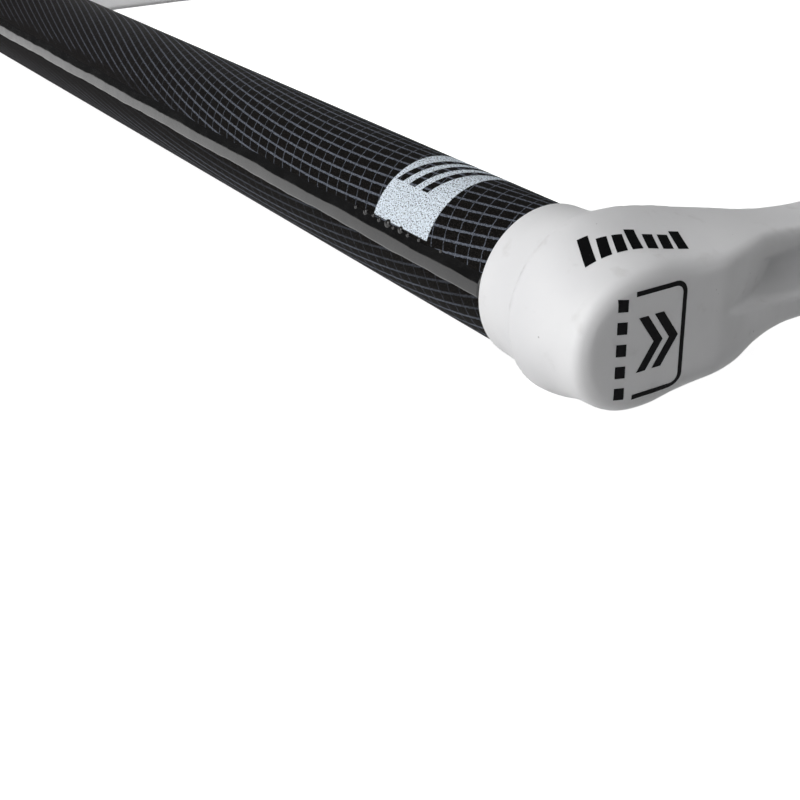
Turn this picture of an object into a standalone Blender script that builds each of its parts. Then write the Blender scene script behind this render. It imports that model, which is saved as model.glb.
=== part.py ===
"""Tow handle for wakeboarding and water skiing, with a locked bar and a moulded bridle.

The bar lies along X, the bridle reaches towards +Y and +Z is up. The origin is at the middle of the
handle's bounding box in X and Y, and on the surface that the handle lies on. Units are metres.
"""
import math

import bmesh
import bpy
from mathutils import Vector

# Driving dimensions
OVERALL = 0.381          # across the two end caps: a 15 inch handle
BAR_TUBE_R = 0.0111      # 7/8 inch tube
TUBE_WALL = 0.0018
GRIP_R = 0.01425         # outside of the grip's cover
CAP_R = 0.0175           # largest radius of an end cap
CAP_LENGTH = 0.0315      # from the collar's rim to the end face
ARM_HALF_HEIGHT = 0.0093
ARM_INNER = 0.0115       # the arm's two side faces, measured from the collar's rim
ARM_OUTER = 0.0252
CHANNEL_DEPTH = 0.0044   # in each side of an arm
CHANNEL_HALF_HEIGHT = 0.0044
HINGE_Y = 0.054          # flex axis of the moulded necks
HINGE_GAP = 0.0004
FLEX_LIMIT = math.radians(25.0)
BEND_START_Y = 0.070     # the arms leave the bar at right angles as far as this
BEND_RADIUS = 0.080
BEND_ANGLE = math.radians(35.0)
ROPE_R = 0.0019
ROPE_LEVEL = 0.0064      # height of the two bridle ropes above and below the bar's axis
EYE_TURN_R = 0.0125      # the bridle ropes' turn around the tow eye
EYE_HOLE_R = 0.0065
EYE_BARREL_R = 0.0095
EYE_FLANGE_R = 0.0130
GAP = 0.0003             # between pieces that touch
SEAM_ANGLE = math.radians(8.5)   # the grip's seam, above the side that faces the rider
SEAM_HALF_GAP = math.radians(11.0)
BEAD_HALF_WIDTH = math.radians(9.6)
BEAD_PROUD = 0.0005
COVER_THICK = 0.00065
GRIP_TUCK = 0.0030       # how far the grip runs on under each collar's lip
SEGMENTS = 36            # sides of the large round pieces
INNER_SEGMENTS = 24      # sides of the round pieces inside the caps
ROPE_SIDES = 8

# Worked out from the driving dimensions
RIM_X = OVERALL / 2 - CAP_LENGTH
TUBE_INSIDE_R = BAR_TUBE_R - TUBE_WALL
ARM_CENTRE = (ARM_INNER + ARM_OUTER) / 2
ARM_HALF_WIDTH = (ARM_OUTER - ARM_INNER) / 2
TUNNEL_R = ROPE_R + GAP
ARM_END = 0.034          # where the arms stop, measured back from the ropes' turn
YOKE_LEG = 0.050
YOKE_HALF_HEIGHT = 0.0118
YOKE_HALF_WIDTH = 0.0093
YOKE_CROTCH_R = 0.0170
ALONG_Y = Vector((0.0, 1.0, 0.0))
ALONG_X = Vector((1.0, 0.0, 0.0))
ALONG_Z = Vector((0.0, 0.0, 1.0))

# Places inside an end cap, measured outwards from the collar's rim
PLUG_START = -0.0180
COLLAR_LENGTH = 0.0112
TUBE_END = 0.0120
PIN_PLACE = 0.0060
SPOOL_START = 0.0157
SPOOL_END = 0.0257
SPOOL_MIDDLE = (SPOOL_START + SPOOL_END) / 2
SPOOL_HUB_R = 0.0086
SPOOL_FLANGE_R = 0.0132
BIGHT_R = SPOOL_HUB_R + GAP + ROPE_R
BOSS_R = 0.0069
SCREW_BORE_R = 0.0025


def clear_scene():
    for obj in list(bpy.data.objects):
        bpy.data.objects.remove(obj, do_unlink=True)


def make_material(name, colour, roughness, metallic=0.0):
    material = bpy.data.materials.new(name)
    material.use_nodes = True
    shader = material.node_tree.nodes["Principled BSDF"]
    shader.inputs["Base Color"].default_value = (*colour, 1.0)
    shader.inputs["Roughness"].default_value = roughness
    shader.inputs["Metallic"].default_value = metallic
    return material


def make_empty(name, place, parent=None):
    empty = bpy.data.objects.new(name, None)
    empty.location = place
    empty.parent = parent
    bpy.context.collection.objects.link(empty)
    return empty


def make_solid(name, bm, material, parent, offset=(0.0, 0.0, 0.0)):
    """Turn a closed bmesh into a named object under an empty."""
    bmesh.ops.recalc_face_normals(bm, faces=bm.faces)
    mesh = bpy.data.meshes.new(name)
    bm.to_mesh(mesh)
    bm.free()
    mesh.shade_smooth()
    mesh.set_sharp_from_angle(angle=math.radians(35.0))
    mesh.materials.append(material)
    obj = bpy.data.objects.new(name, mesh)
    obj.parent = parent
    obj.location = offset
    bpy.context.collection.objects.link(obj)
    return obj


def hide_tool(obj):
    """A cutter or a lump that only shapes another object."""
    obj.hide_render = True
    obj.display_type = "WIRE"
    return obj


def combine(target, tool, operation):
    hide_tool(tool)
    modifier = target.modifiers.new(operation.lower() + "_" + tool.name, "BOOLEAN")
    modifier.operation = operation
    modifier.solver = "EXACT"
    modifier.object = tool


def bridge_rings(bm, rings, close=False):
    """Faces between neighbouring rings of vertices; a ring of one vertex is a pole."""
    pairs = list(zip(rings, rings[1:]))
    if close:
        pairs.append((rings[-1], rings[0]))
    for low, high in pairs:
        count = max(len(low), len(high))
        for i in range(count):
            j = (i + 1) % count
            corners = [low[i % len(low)], low[j % len(low)], high[j % len(high)], high[i % len(high)]]
            unique = list(dict.fromkeys(corners))
            bm.faces.new(unique)


def revolve(profile, centre, along, closed, segments=SEGMENTS):
    """Spin (distance along the axis, radius) points about an axis through centre."""
    across = along.orthogonal().normalized() if along != ALONG_X else ALONG_Y
    up = along.cross(across)
    bm = bmesh.new()
    rings = []
    for distance, radius in profile:
        middle = centre + along * distance
        if radius == 0.0:
            rings.append([bm.verts.new(middle)])
            continue
        ring = []
        for i in range(segments):
            turn = 2 * math.pi * i / segments
            ring.append(bm.verts.new(middle + (across * math.cos(turn) + up * math.sin(turn)) * radius))
        rings.append(ring)
    bridge_rings(bm, rings, close=closed)
    return bm


def bar_turned(side, profile, closed, segments=SEGMENTS):
    """A turned piece at one end of the bar; its profile is measured outwards from the rim."""
    placed = [(side * (RIM_X + distance), radius) for distance, radius in profile]
    return revolve(placed, Vector((0.0, 0.0, 0.0)), ALONG_X, closed, segments)


def loft(rings):
    """A closed body through rings of points with flat ends."""
    bm = bmesh.new()
    made = [[bm.verts.new(point) for point in ring] for ring in rings]
    bridge_rings(bm, made)
    bm.faces.new(made[0])
    bm.faces.new(made[-1])
    return bm


def prism(outline, low, high):
    """A plan outline of (x, y) points extruded between two heights."""
    return loft([[Vector((x, y, z)) for x, y in outline] for z in (low, high)])


def circle_section(radius, count):
    return [
        (radius * math.cos(2 * math.pi * i / count), radius * math.sin(2 * math.pi * i / count))
        for i in range(count)
    ]


def sweep(side, stations, section_at):
    """Carry a section along plan stations (x, y, heading); heading 0 points along +Y."""
    rings = []
    for index, (x, y, heading) in enumerate(stations):
        across = Vector((math.cos(heading), math.sin(heading), 0.0))
        ring = []
        for out, rise in section_at(index):
            point = Vector((x, y, rise)) + across * out
            point.x *= side
            ring.append(point)
        rings.append(ring)
    return loft(rings)


# Plan of the bridle, worked out once for the right side
BEND_END_X = RIM_X + ARM_CENTRE - BEND_RADIUS * (1 - math.cos(BEND_ANGLE))
BEND_END_Y = BEND_START_Y + BEND_RADIUS * math.sin(BEND_ANGLE)
TURN_X = EYE_TURN_R * math.cos(BEND_ANGLE)
STRAIGHT = (BEND_END_X - TURN_X) / math.sin(BEND_ANGLE)
EYE_Y = BEND_END_Y + STRAIGHT * math.cos(BEND_ANGLE) - EYE_TURN_R * math.sin(BEND_ANGLE)


def bend_stations(steps=6):
    """The arm's curve from straight ahead to its slant."""
    found = []
    for i in range(steps + 1):
        turn = BEND_ANGLE * i / steps
        x = RIM_X + ARM_CENTRE - BEND_RADIUS * (1 - math.cos(turn))
        found.append((x, BEND_START_Y + BEND_RADIUS * math.sin(turn), turn))
    return found


def slant_station(back):
    """A point on the slanted part of the arm, measured back from the ropes' turn."""
    x = TURN_X + back * math.sin(BEND_ANGLE)
    y = EYE_Y + EYE_TURN_R * math.sin(BEND_ANGLE) - back * math.cos(BEND_ANGLE)
    return x, y, BEND_ANGLE


def turn_stations(steps=10):
    """The ropes' half turn around the tow eye, from the right arm to the left one."""
    found = []
    for i in range(1, steps):
        angle = BEND_ANGLE + (math.pi - 2 * BEND_ANGLE) * i / steps
        x = EYE_TURN_R * math.cos(angle)
        found.append((x, EYE_Y + EYE_TURN_R * math.sin(angle), angle))
    return found


def mirror_stations(stations):
    return [(-x, y, math.pi - heading) for x, y, heading in reversed(stations)]


def beam_section(half_width, half_height, corner, channel):
    """An I-shaped section: a rounded-off block with a channel in each side."""
    lip = CHANNEL_HALF_HEIGHT * half_height / ARM_HALF_HEIGHT
    floor = half_width - channel
    slope = lip * 0.75
    quarter = [
        (floor, 0.0),
        (floor, slope),
        (half_width, lip),
        (half_width, half_height - corner),
        (half_width - corner, half_height),
    ]
    upper_right = quarter
    upper_left = [(-x, z) for x, z in reversed(quarter)]
    lower_left = [(-x, -z) for x, z in quarter[1:]]
    lower_right = [(x, -z) for x, z in reversed(quarter[1:])]
    return upper_right + upper_left + lower_left + lower_right


def make_bar(parent, looks):
    """Tube, flotation core and the grip's layers, all along the bar's axis."""
    tube_half = RIM_X + TUBE_END
    tube = sleeve(tube_half, TUBE_INSIDE_R, BAR_TUBE_R)
    tube = make_solid("bar_tube", tube, looks["aluminium"], parent)
    for side in (1, -1):
        combine(tube, pin_hole(side, parent, looks), "DIFFERENCE")

    core_half = RIM_X + PLUG_START - 0.0005
    core_r = TUBE_INSIDE_R - 0.0004
    core_profile = [(-core_half, 0.0), (-core_half, core_r), (core_half, core_r), (core_half, 0.0)]
    core = revolve(core_profile, Vector((0.0, 0.0, 0.0)), ALONG_X, False)
    make_solid("foam_core", core, looks["foam"], parent)

    grip_half = RIM_X + GRIP_TUCK
    cover_inside_r = GRIP_R - COVER_THICK
    underlay = sleeve(grip_half, BAR_TUBE_R + GAP, cover_inside_r - GAP)
    make_solid("grip_underlay", underlay, looks["rubber"], parent)

    cover = along_bar(wrap_section(cover_inside_r, GRIP_R, SEAM_HALF_GAP), grip_half)
    make_solid("grip_cover", cover, looks["fabric"], parent)

    bead_shape = bead_section(cover_inside_r, GRIP_R + BEAD_PROUD, BEAD_HALF_WIDTH)
    make_solid("seam_bead", along_bar(bead_shape, RIM_X - GAP), looks["cement"], parent)


def sleeve(half_length, inside_r, outside_r):
    """A plain tube along the bar, centred on it."""
    profile = [
        (-half_length, inside_r), (half_length, inside_r),
        (half_length, outside_r), (-half_length, outside_r),
    ]
    return revolve(profile, Vector((0.0, 0.0, 0.0)), ALONG_X, True)


def wrap_section(inside_r, outside_r, half_gap, steps=36):
    """A sleeve's section, open along the seam."""
    turns = [SEAM_ANGLE + half_gap + (2 * math.pi - 2 * half_gap) * i / steps for i in range(steps + 1)]
    outer = [(outside_r, turn) for turn in turns]
    inner = [(inside_r, turn) for turn in reversed(turns)]
    return outer + inner


def bead_section(inside_r, crown_r, half_width):
    """The cement bead's section: it fills the seam and stands slightly proud."""
    shoulder_r = inside_r + 0.75 * (crown_r - inside_r)
    return [
        (inside_r, SEAM_ANGLE - half_width), (shoulder_r, SEAM_ANGLE - half_width),
        (crown_r, SEAM_ANGLE - half_width / 3), (crown_r, SEAM_ANGLE + half_width / 3),
        (shoulder_r, SEAM_ANGLE + half_width), (inside_r, SEAM_ANGLE + half_width),
    ]


def along_bar(section, half_length):
    """Extrude a section of (radius, angle) points; angle 0 faces the rider, 90 degrees is up."""
    rings = []
    for x in (-half_length, half_length):
        rings.append([Vector((x, -r * math.cos(turn), r * math.sin(turn))) for r, turn in section])
    return loft(rings)


def pin_hole(side, parent, looks):
    centre = Vector((side * (RIM_X + PIN_PLACE), 0.0, 0.0))
    hole = revolve(
        [(-0.02, 0.0), (-0.02, 0.0020), (0.02, 0.0020), (0.02, 0.0)],
        centre, ALONG_Z, False, 16,
    )
    return hide_tool(make_solid("pin_hole_tool", hole, looks["steel"], parent))


def hexagon(radius, x):
    return [
        Vector((x, radius * math.cos(math.pi * i / 3), radius * math.sin(math.pi * i / 3)))
        for i in range(6)
    ]


def make_end_fittings(side, label, parent, looks):
    """What locks the bar inside one end cap: plug, seal, cross pin, keyed spool and screw."""
    plug_r = TUBE_INSIDE_R - GAP
    plug = bar_turned(side, [
        (PLUG_START, 0.0), (PLUG_START, plug_r - 0.001), (PLUG_START + 0.001, plug_r),
        (-0.0125, plug_r), (-0.0125, 0.0069), (-0.0099, 0.0069), (-0.0099, plug_r),
        (TUBE_END + GAP, plug_r), (TUBE_END + GAP, BAR_TUBE_R), (SPOOL_START - GAP, BAR_TUBE_R),
        (SPOOL_START - GAP, 0.0),
    ], False, INNER_SEGMENTS)
    plug = make_solid(label + "_tube_plug", plug, looks["nylon"], parent)
    boss = loft([hexagon(BOSS_R, side * (RIM_X + x)) for x in (SPOOL_START - 0.002, SPOOL_END - GAP)])
    combine(plug, make_solid("boss_tool", boss, looks["nylon"], parent), "UNION")
    bore = bar_turned(side, [
        (0.0097, 0.0), (0.0097, SCREW_BORE_R), (0.030, SCREW_BORE_R), (0.030, 0.0),
    ], False, 16)
    combine(plug, make_solid("bore_tool", bore, looks["nylon"], parent), "DIFFERENCE")
    combine(plug, pin_hole(side, parent, looks), "DIFFERENCE")

    seal_middle, seal_r, thickness = -0.0112, 0.0081, 0.00085
    seal = bar_turned(side, [
        (seal_middle + out, seal_r + rise) for out, rise in circle_section(thickness, 6)
    ], True, INNER_SEGMENTS)
    make_solid(label + "_plug_seal", seal, looks["rubber"], parent)

    pin_centre = Vector((side * (RIM_X + PIN_PLACE), 0.0, 0.0))
    pin_half = BAR_TUBE_R - 0.0002
    pin = revolve([
        (-pin_half, 0.0), (-pin_half, 0.0013), (0.0004 - pin_half, 0.0017),
        (pin_half - 0.0004, 0.0017), (pin_half, 0.0013), (pin_half, 0.0),
    ], pin_centre, ALONG_Z, False, 16)
    make_solid(label + "_lock_pin", pin, looks["steel"], parent)

    cheek = 0.0020
    spool = bar_turned(side, [
        (SPOOL_START, 0.0050), (SPOOL_END, 0.0050),
        (SPOOL_END, SPOOL_FLANGE_R), (SPOOL_END - cheek, SPOOL_FLANGE_R),
        (SPOOL_END - cheek, SPOOL_HUB_R), (SPOOL_START + cheek, SPOOL_HUB_R),
        (SPOOL_START + cheek, SPOOL_FLANGE_R), (SPOOL_START, SPOOL_FLANGE_R),
    ], True, INNER_SEGMENTS)
    spool = make_solid(label + "_lock_spool", spool, looks["nylon"], parent)
    key_ends = (SPOOL_START - 0.002, SPOOL_END + 0.002)
    key = loft([hexagon(BOSS_R + 0.00035, side * (RIM_X + x)) for x in key_ends])
    combine(spool, make_solid("key_tool", key, looks["nylon"], parent), "DIFFERENCE")

    head_start = SPOOL_END + GAP
    screw = bar_turned(side, [
        (0.0100, 0.0), (0.0100, 0.0015), (0.0110, 0.0021), (head_start, 0.0021), (head_start, 0.0086),
        (head_start + 0.0014, 0.0082), (head_start + 0.0026, 0.0062),
        (head_start + 0.0026, 0.0022), (head_start + 0.0010, 0.0022), (head_start + 0.0010, 0.0),
    ], False, INNER_SEGMENTS)
    make_solid(label + "_spool_screw", screw, looks["steel"], parent)


def make_collar(side, label, parent, looks):
    """The soft collar between the grip and the end cap, with a lip over the grip's end."""
    lip_r = GRIP_R + GAP
    collar = bar_turned(side, [
        (0.0, lip_r), (0.0, 0.0150), (0.0045, 0.0150), (0.0080, 0.0153),
        (COLLAR_LENGTH, 0.0156), (COLLAR_LENGTH, BAR_TUBE_R + GAP),
        (0.0033, BAR_TUBE_R + GAP), (0.0033, lip_r),
    ], True)
    make_solid(label + "_collar", collar, looks["white"], parent)


def cap_outline(side, place):
    """One XZ section of the cap's body: y, side faces, half heights at each face and corner size."""
    y, inner, outer, inner_height, outer_height, corner = place
    half = [
        (inner, inner_height - corner * 0.7), (inner + corner * 0.7, inner_height),
        (outer - corner, outer_height + 0.0004), (outer, outer_height - corner),
    ]
    ring = half + [(x, -z) for x, z in reversed(half)]
    return [Vector((side * (RIM_X + x), y, z)) for x, z in ring]


def make_end_cap(side, label, parent, looks):
    """The moulded head over the bar's end, with the root of the arm."""
    start = COLLAR_LENGTH + GAP
    end = CAP_LENGTH
    cap = bar_turned(side, [
        (start, 0.0), (start, 0.0148), (0.0121, 0.0163), (0.0130, 0.0170), (0.0141, CAP_R),
        (0.0160, 0.0168), (0.0200, 0.0159), (0.0240, 0.0153),
        (end - 0.0043, 0.0150), (end - 0.0026, 0.0146), (end - 0.0010, 0.0134),
        (end - 0.0002, 0.0118), (end, 0.0104), (end, 0.0),
    ], False)
    cap = make_solid(label + "_end_cap", cap, looks["white"], parent)

    neck_end = HINGE_Y - ARM_HALF_HEIGHT * math.sin(FLEX_LIMIT) - GAP
    level = ARM_HALF_HEIGHT
    corner = 0.0030
    places = [
        (0.0010, 0.0120, end - 0.0004, 0.0165, 0.0126, corner),
        (0.0060, 0.0120, end - 0.0004, 0.0168, 0.0124, corner),
        (0.0120, 0.0120, end - 0.0004, 0.0158, 0.0122, corner),
        (0.0200, 0.0119, 0.0304, 0.0142, 0.0120, corner),
        (0.0280, 0.0117, 0.0276, 0.0124, 0.0110, corner),
        (0.0340, 0.0116, 0.0260, 0.0109, 0.0102, corner * 0.8),
        (0.0410, ARM_INNER, ARM_OUTER + 0.0002, level + 0.0004, level + 0.0002, corner * 0.6),
        (neck_end, ARM_INNER, ARM_OUTER, level, level - 0.0004, corner * 0.5),
    ]
    body = loft([cap_outline(side, place) for place in places])
    combine(cap, make_solid("body_tool", body, looks["white"], parent), "UNION")

    hollow = bar_turned(side, [
        (0.010, 0.0), (0.010, BAR_TUBE_R + GAP), (SPOOL_START - GAP, BAR_TUBE_R + GAP),
        (SPOOL_START - GAP, SPOOL_FLANGE_R + GAP), (SPOOL_END + GAP, SPOOL_FLANGE_R + GAP),
        (SPOOL_END + 2 * GAP, 0.0092), (SPOOL_END + 0.0034, 0.0088), (SPOOL_END + 0.0034, 0.0),
    ], False)
    combine(cap, make_solid("hollow_tool", hollow, looks["white"], parent), "DIFFERENCE")

    socket = revolve([
        (side * (RIM_X + 0.006), 0.0), (side * (RIM_X + 0.006), level + HINGE_GAP),
        (side * (RIM_X + 0.036), level + HINGE_GAP), (side * (RIM_X + 0.036), 0.0),
    ], Vector((0.0, HINGE_Y, 0.0)), ALONG_X, False)
    combine(cap, make_solid("socket_tool", socket, looks["white"], parent), "DIFFERENCE")

    for level_sign in (1, -1):
        strand = strand_solid(side, level_sign, TUNNEL_R, 0.0)
        combine(cap, make_solid("strand_tool", strand, looks["white"], parent), "DIFFERENCE")

    lip = CHANNEL_HALF_HEIGHT
    outer_channel = [(0.0330, 0.0150), (0.0208, 0.0270), (0.0208, 0.0420), (0.0330, 0.0420)]
    inner_channel = [(0.0080, 0.0240), (0.0159, 0.0320), (0.0159, 0.0420), (0.0080, 0.0420)]
    for outline in (outer_channel, inner_channel):
        placed = [(side * (RIM_X + x), y) for x, y in outline]
        channel = make_solid("channel_tool", prism(placed, -lip, lip), looks["white"], parent)
        combine(cap, channel, "DIFFERENCE")


def strand_solid(side, level_sign, radius, start_y):
    """The rope's straight run inside an end cap, from the spool towards the arm."""
    end_y = HINGE_Y - ARM_HALF_HEIGHT - 0.0016
    rings = []
    for y, x, z in ((start_y, SPOOL_MIDDLE, BIGHT_R), (end_y, ARM_CENTRE, ROPE_LEVEL)):
        middle = Vector((side * (RIM_X + x), y, level_sign * z))
        circle = circle_section(radius, ROPE_SIDES)
        rings.append([middle + Vector((out, 0.0, rise)) for out, rise in circle])
    return loft(rings)


def make_rope_bight(side, label, parent, looks):
    """The rope's turn around the spool on the rider's side, and its two runs to the neck."""
    end_y = HINGE_Y - ARM_HALF_HEIGHT - 0.0022
    steps = 10
    route = [(end_y, ARM_CENTRE, ROPE_LEVEL, 0.0)]
    for i in range(steps + 1):
        turn = math.pi * i / steps
        route.append((-BIGHT_R * math.sin(turn), SPOOL_MIDDLE, BIGHT_R * math.cos(turn), turn))
    route.append((end_y, ARM_CENTRE, -ROPE_LEVEL, math.pi))
    rings = []
    for y, x, z, turn in route:
        middle = Vector((side * (RIM_X + x), y, z))
        outwards = Vector((0.0, -math.sin(turn), math.cos(turn)))
        ring = []
        for out, rise in circle_section(ROPE_R, ROPE_SIDES):
            ring.append(middle + ALONG_X * side * out + outwards * rise)
        rings.append(ring)
    make_solid(label + "_rope_bight", loft(rings), looks["rope"], parent)


def rope_stations(end_y, back_from_turn):
    """Plan route of one bridle rope: right neck, right arm, around the eye, left arm, left neck."""
    right = [(RIM_X + ARM_CENTRE, end_y, 0.0)] if end_y else []
    right += bend_stations() if end_y else []
    right += [slant_station(back) for back in back_from_turn]
    return right + turn_stations() + mirror_stations(right)


def make_arm(side, label, parent, offset, looks):
    """One moulded arm of the bridle, with the rounded root that flexes in the cap's neck."""
    root_steps = 7
    stations = []
    shapes = []
    for i in range(1, root_steps + 1):
        turn = math.radians(90.0) * i / root_steps
        stations.append((RIM_X + ARM_CENTRE, HINGE_Y - ARM_HALF_HEIGHT * math.cos(turn), 0.0))
        shapes.append((ARM_HALF_HEIGHT * math.sin(turn), 0.0002))
    stations.append((RIM_X + ARM_CENTRE, HINGE_Y + 0.0080, 0.0))
    shapes.append((ARM_HALF_HEIGHT, 0.0002))
    for station in bend_stations() + [slant_station(ARM_END + 0.060), slant_station(ARM_END)]:
        stations.append(station)
        shapes.append((ARM_HALF_HEIGHT, CHANNEL_DEPTH))

    def section(index):
        height, depth = shapes[index]
        corner = min(0.0018, height * 0.3)
        return beam_section(ARM_HALF_WIDTH, height, corner, depth)

    arm = make_solid(label + "_arm", sweep(side, stations, section), looks["white"], parent, offset)
    for level_sign in (1, -1):
        route = [(RIM_X + ARM_CENTRE, HINGE_Y, 0.0)] + bend_stations()
        route.append(slant_station(ARM_END - 0.004))
        tunnel = rope_solid(side, route, level_sign, TUNNEL_R)
        combine(arm, make_solid("tunnel_tool", tunnel, looks["white"], parent, offset), "DIFFERENCE")


def rope_solid(side, route, level_sign, radius):
    level = level_sign * ROPE_LEVEL
    section = [(out, rise + level) for out, rise in circle_section(radius, ROPE_SIDES)]
    return sweep(side, route, lambda index: section)


def yoke_outline():
    """Plan of the yoke: a boss around the eye and a leg over the end of each arm."""
    normal = Vector((math.cos(BEND_ANGLE), math.sin(BEND_ANGLE)))
    back = Vector((math.sin(BEND_ANGLE), -math.cos(BEND_ANGLE)))
    blunt = 0.002
    outer_r = EYE_TURN_R + YOKE_HALF_WIDTH
    inner_offset = EYE_TURN_R - YOKE_HALF_WIDTH
    reach = math.sqrt(YOKE_CROTCH_R ** 2 - inner_offset ** 2)
    right = [
        normal * inner_offset + back * reach,
        normal * inner_offset + back * YOKE_LEG,
        normal * (inner_offset + blunt) + back * (YOKE_LEG + blunt),
        normal * (outer_r - blunt) + back * (YOKE_LEG + blunt),
        normal * outer_r + back * YOKE_LEG,
        normal * outer_r,
    ]
    points = [(p.x, p.y + EYE_Y) for p in right]
    steps = 10
    for i in range(1, steps):
        angle = BEND_ANGLE + (math.pi - 2 * BEND_ANGLE) * i / steps
        points.append((outer_r * math.cos(angle), EYE_Y + outer_r * math.sin(angle)))
    points += [(-x, y) for x, y in reversed([(p.x, p.y + EYE_Y) for p in right])]
    first = math.atan2(right[0].y, right[0].x)
    for i in range(1, steps):
        angle = -math.pi - first + (2 * first + math.pi) * i / steps
        points.append((YOKE_CROTCH_R * math.cos(angle), EYE_Y + YOKE_CROTCH_R * math.sin(angle)))
    return points


def make_yoke(parent, offset, looks):
    """The moulding that joins the two arms and carries the tow eye."""
    outline = yoke_outline()
    chamfer = 0.0014
    middle = Vector((0.0, EYE_Y - 0.010))
    rings = []
    levels = (
        (-YOKE_HALF_HEIGHT, chamfer), (chamfer - YOKE_HALF_HEIGHT, 0.0),
        (YOKE_HALF_HEIGHT - chamfer, 0.0), (YOKE_HALF_HEIGHT, chamfer),
    )
    for height, inset in levels:
        ring = []
        for x, y in outline:
            point = Vector((x, y))
            point -= (point - middle).normalized() * inset
            ring.append(Vector((point.x, point.y, height)))
        rings.append(ring)
    yoke = make_solid("yoke", loft(rings), looks["white"], parent, offset)

    eye = revolve([
        (-0.02, 0.0), (-0.02, EYE_BARREL_R + GAP), (0.02, EYE_BARREL_R + GAP), (0.02, 0.0),
    ], Vector((0.0, EYE_Y, 0.0)), ALONG_Z, False)
    combine(yoke, make_solid("eye_tool", eye, looks["white"], parent, offset), "DIFFERENCE")

    clearance = 0.0004
    half_width = ARM_HALF_WIDTH + clearance
    half_height = ARM_HALF_HEIGHT + clearance
    pocket = [
        (half_width, half_height), (-half_width, half_height),
        (-half_width, -half_height), (half_width, -half_height),
    ]
    for side in (1, -1):
        route = [slant_station(ARM_END - GAP), slant_station(YOKE_LEG + 0.020)]
        cavity = sweep(side, route, lambda index: pocket)
        combine(yoke, make_solid("pocket_tool", cavity, looks["white"], parent, offset), "DIFFERENCE")
    for level_sign in (1, -1):
        route = rope_stations(0.0, (ARM_END + 0.003, 0.012, 0.0))
        tunnel = rope_solid(1, route, level_sign, TUNNEL_R)
        combine(yoke, make_solid("turn_tool", tunnel, looks["white"], parent, offset), "DIFFERENCE")


def make_thimble(parent, offset, looks):
    """The lining of the tow eye, flanged over both faces of the yoke."""
    seat = YOKE_HALF_HEIGHT + GAP
    face = seat + 0.0015
    half = [
        (seat, EYE_BARREL_R), (seat, EYE_FLANGE_R), (face, EYE_FLANGE_R),
        (face, EYE_HOLE_R + 0.0022), (face - 0.0010, EYE_HOLE_R + 0.0010), (face - 0.0035, EYE_HOLE_R),
    ]
    profile = half + [(-height, radius) for height, radius in reversed(half)]
    thimble = revolve(profile, Vector((0.0, EYE_Y, 0.0)), ALONG_Z, True)
    make_solid("tow_thimble", thimble, looks["steel"], parent, offset)


def make_bridle_ropes(parent, offset, looks):
    for label, level_sign in (("upper", 1), ("lower", -1)):
        route = rope_stations(HINGE_Y + GAP, (ARM_END + 0.060, ARM_END, 0.012, 0.0))
        rope = rope_solid(1, route, level_sign, ROPE_R)
        make_solid("bridle_rope_" + label, rope, looks["rope"], parent, offset)


def main():
    clear_scene()
    looks = {
        "aluminium": make_material("brushed_aluminium", (0.62, 0.63, 0.65), 0.35, 1.0),
        "steel": make_material("stainless_steel", (0.60, 0.60, 0.61), 0.28, 1.0),
        "foam": make_material("closed_cell_foam", (0.75, 0.74, 0.70), 0.95),
        "rubber": make_material("black_rubber", (0.02, 0.02, 0.02), 0.60),
        "fabric": make_material("grip_fabric", (0.025, 0.024, 0.024), 0.85),
        "cement": make_material("seam_cement", (0.01, 0.01, 0.011), 0.15),
        "nylon": make_material("glass_filled_nylon", (0.06, 0.06, 0.065), 0.50),
        "white": make_material("white_elastomer", (0.80, 0.81, 0.83), 0.50),
        "rope": make_material("bridle_rope", (0.70, 0.70, 0.66), 0.80),
    }
    bar = make_empty("bar_axis", (0.0, -(EYE_Y + EYE_TURN_R + YOKE_HALF_WIDTH - CAP_R) / 2, CAP_R))
    flex = make_empty("flex_axis", (0.0, HINGE_Y, 0.0), bar)
    from_flex = (0.0, -HINGE_Y, 0.0)
    make_bar(bar, looks)
    for side, label in ((1, "right"), (-1, "left")):
        make_end_fittings(side, label, bar, looks)
        make_collar(side, label, bar, looks)
        make_end_cap(side, label, bar, looks)
        make_rope_bight(side, label, bar, looks)
        make_arm(side, label, flex, from_flex, looks)
    make_yoke(flex, from_flex, looks)
    make_thimble(flex, from_flex, looks)
    make_bridle_ropes(flex, from_flex, looks)


main()
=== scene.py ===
"""Looks of a tow handle: a bar with a fabric grip, two moulded end caps and a moulded bridle.

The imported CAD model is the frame, and the pieces here are drawn over it. Shapes are drawn in
millimetres in a frame of their own, one for each side of the handle: u runs outwards along the bar
from the inner rim of the collar, y runs from the bar's axis towards the tow eye, and z is up.
"""
import math

import bpy
import numpy as np
from mathutils import Matrix, Vector
from mathutils.bvhtree import BVHTree


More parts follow.
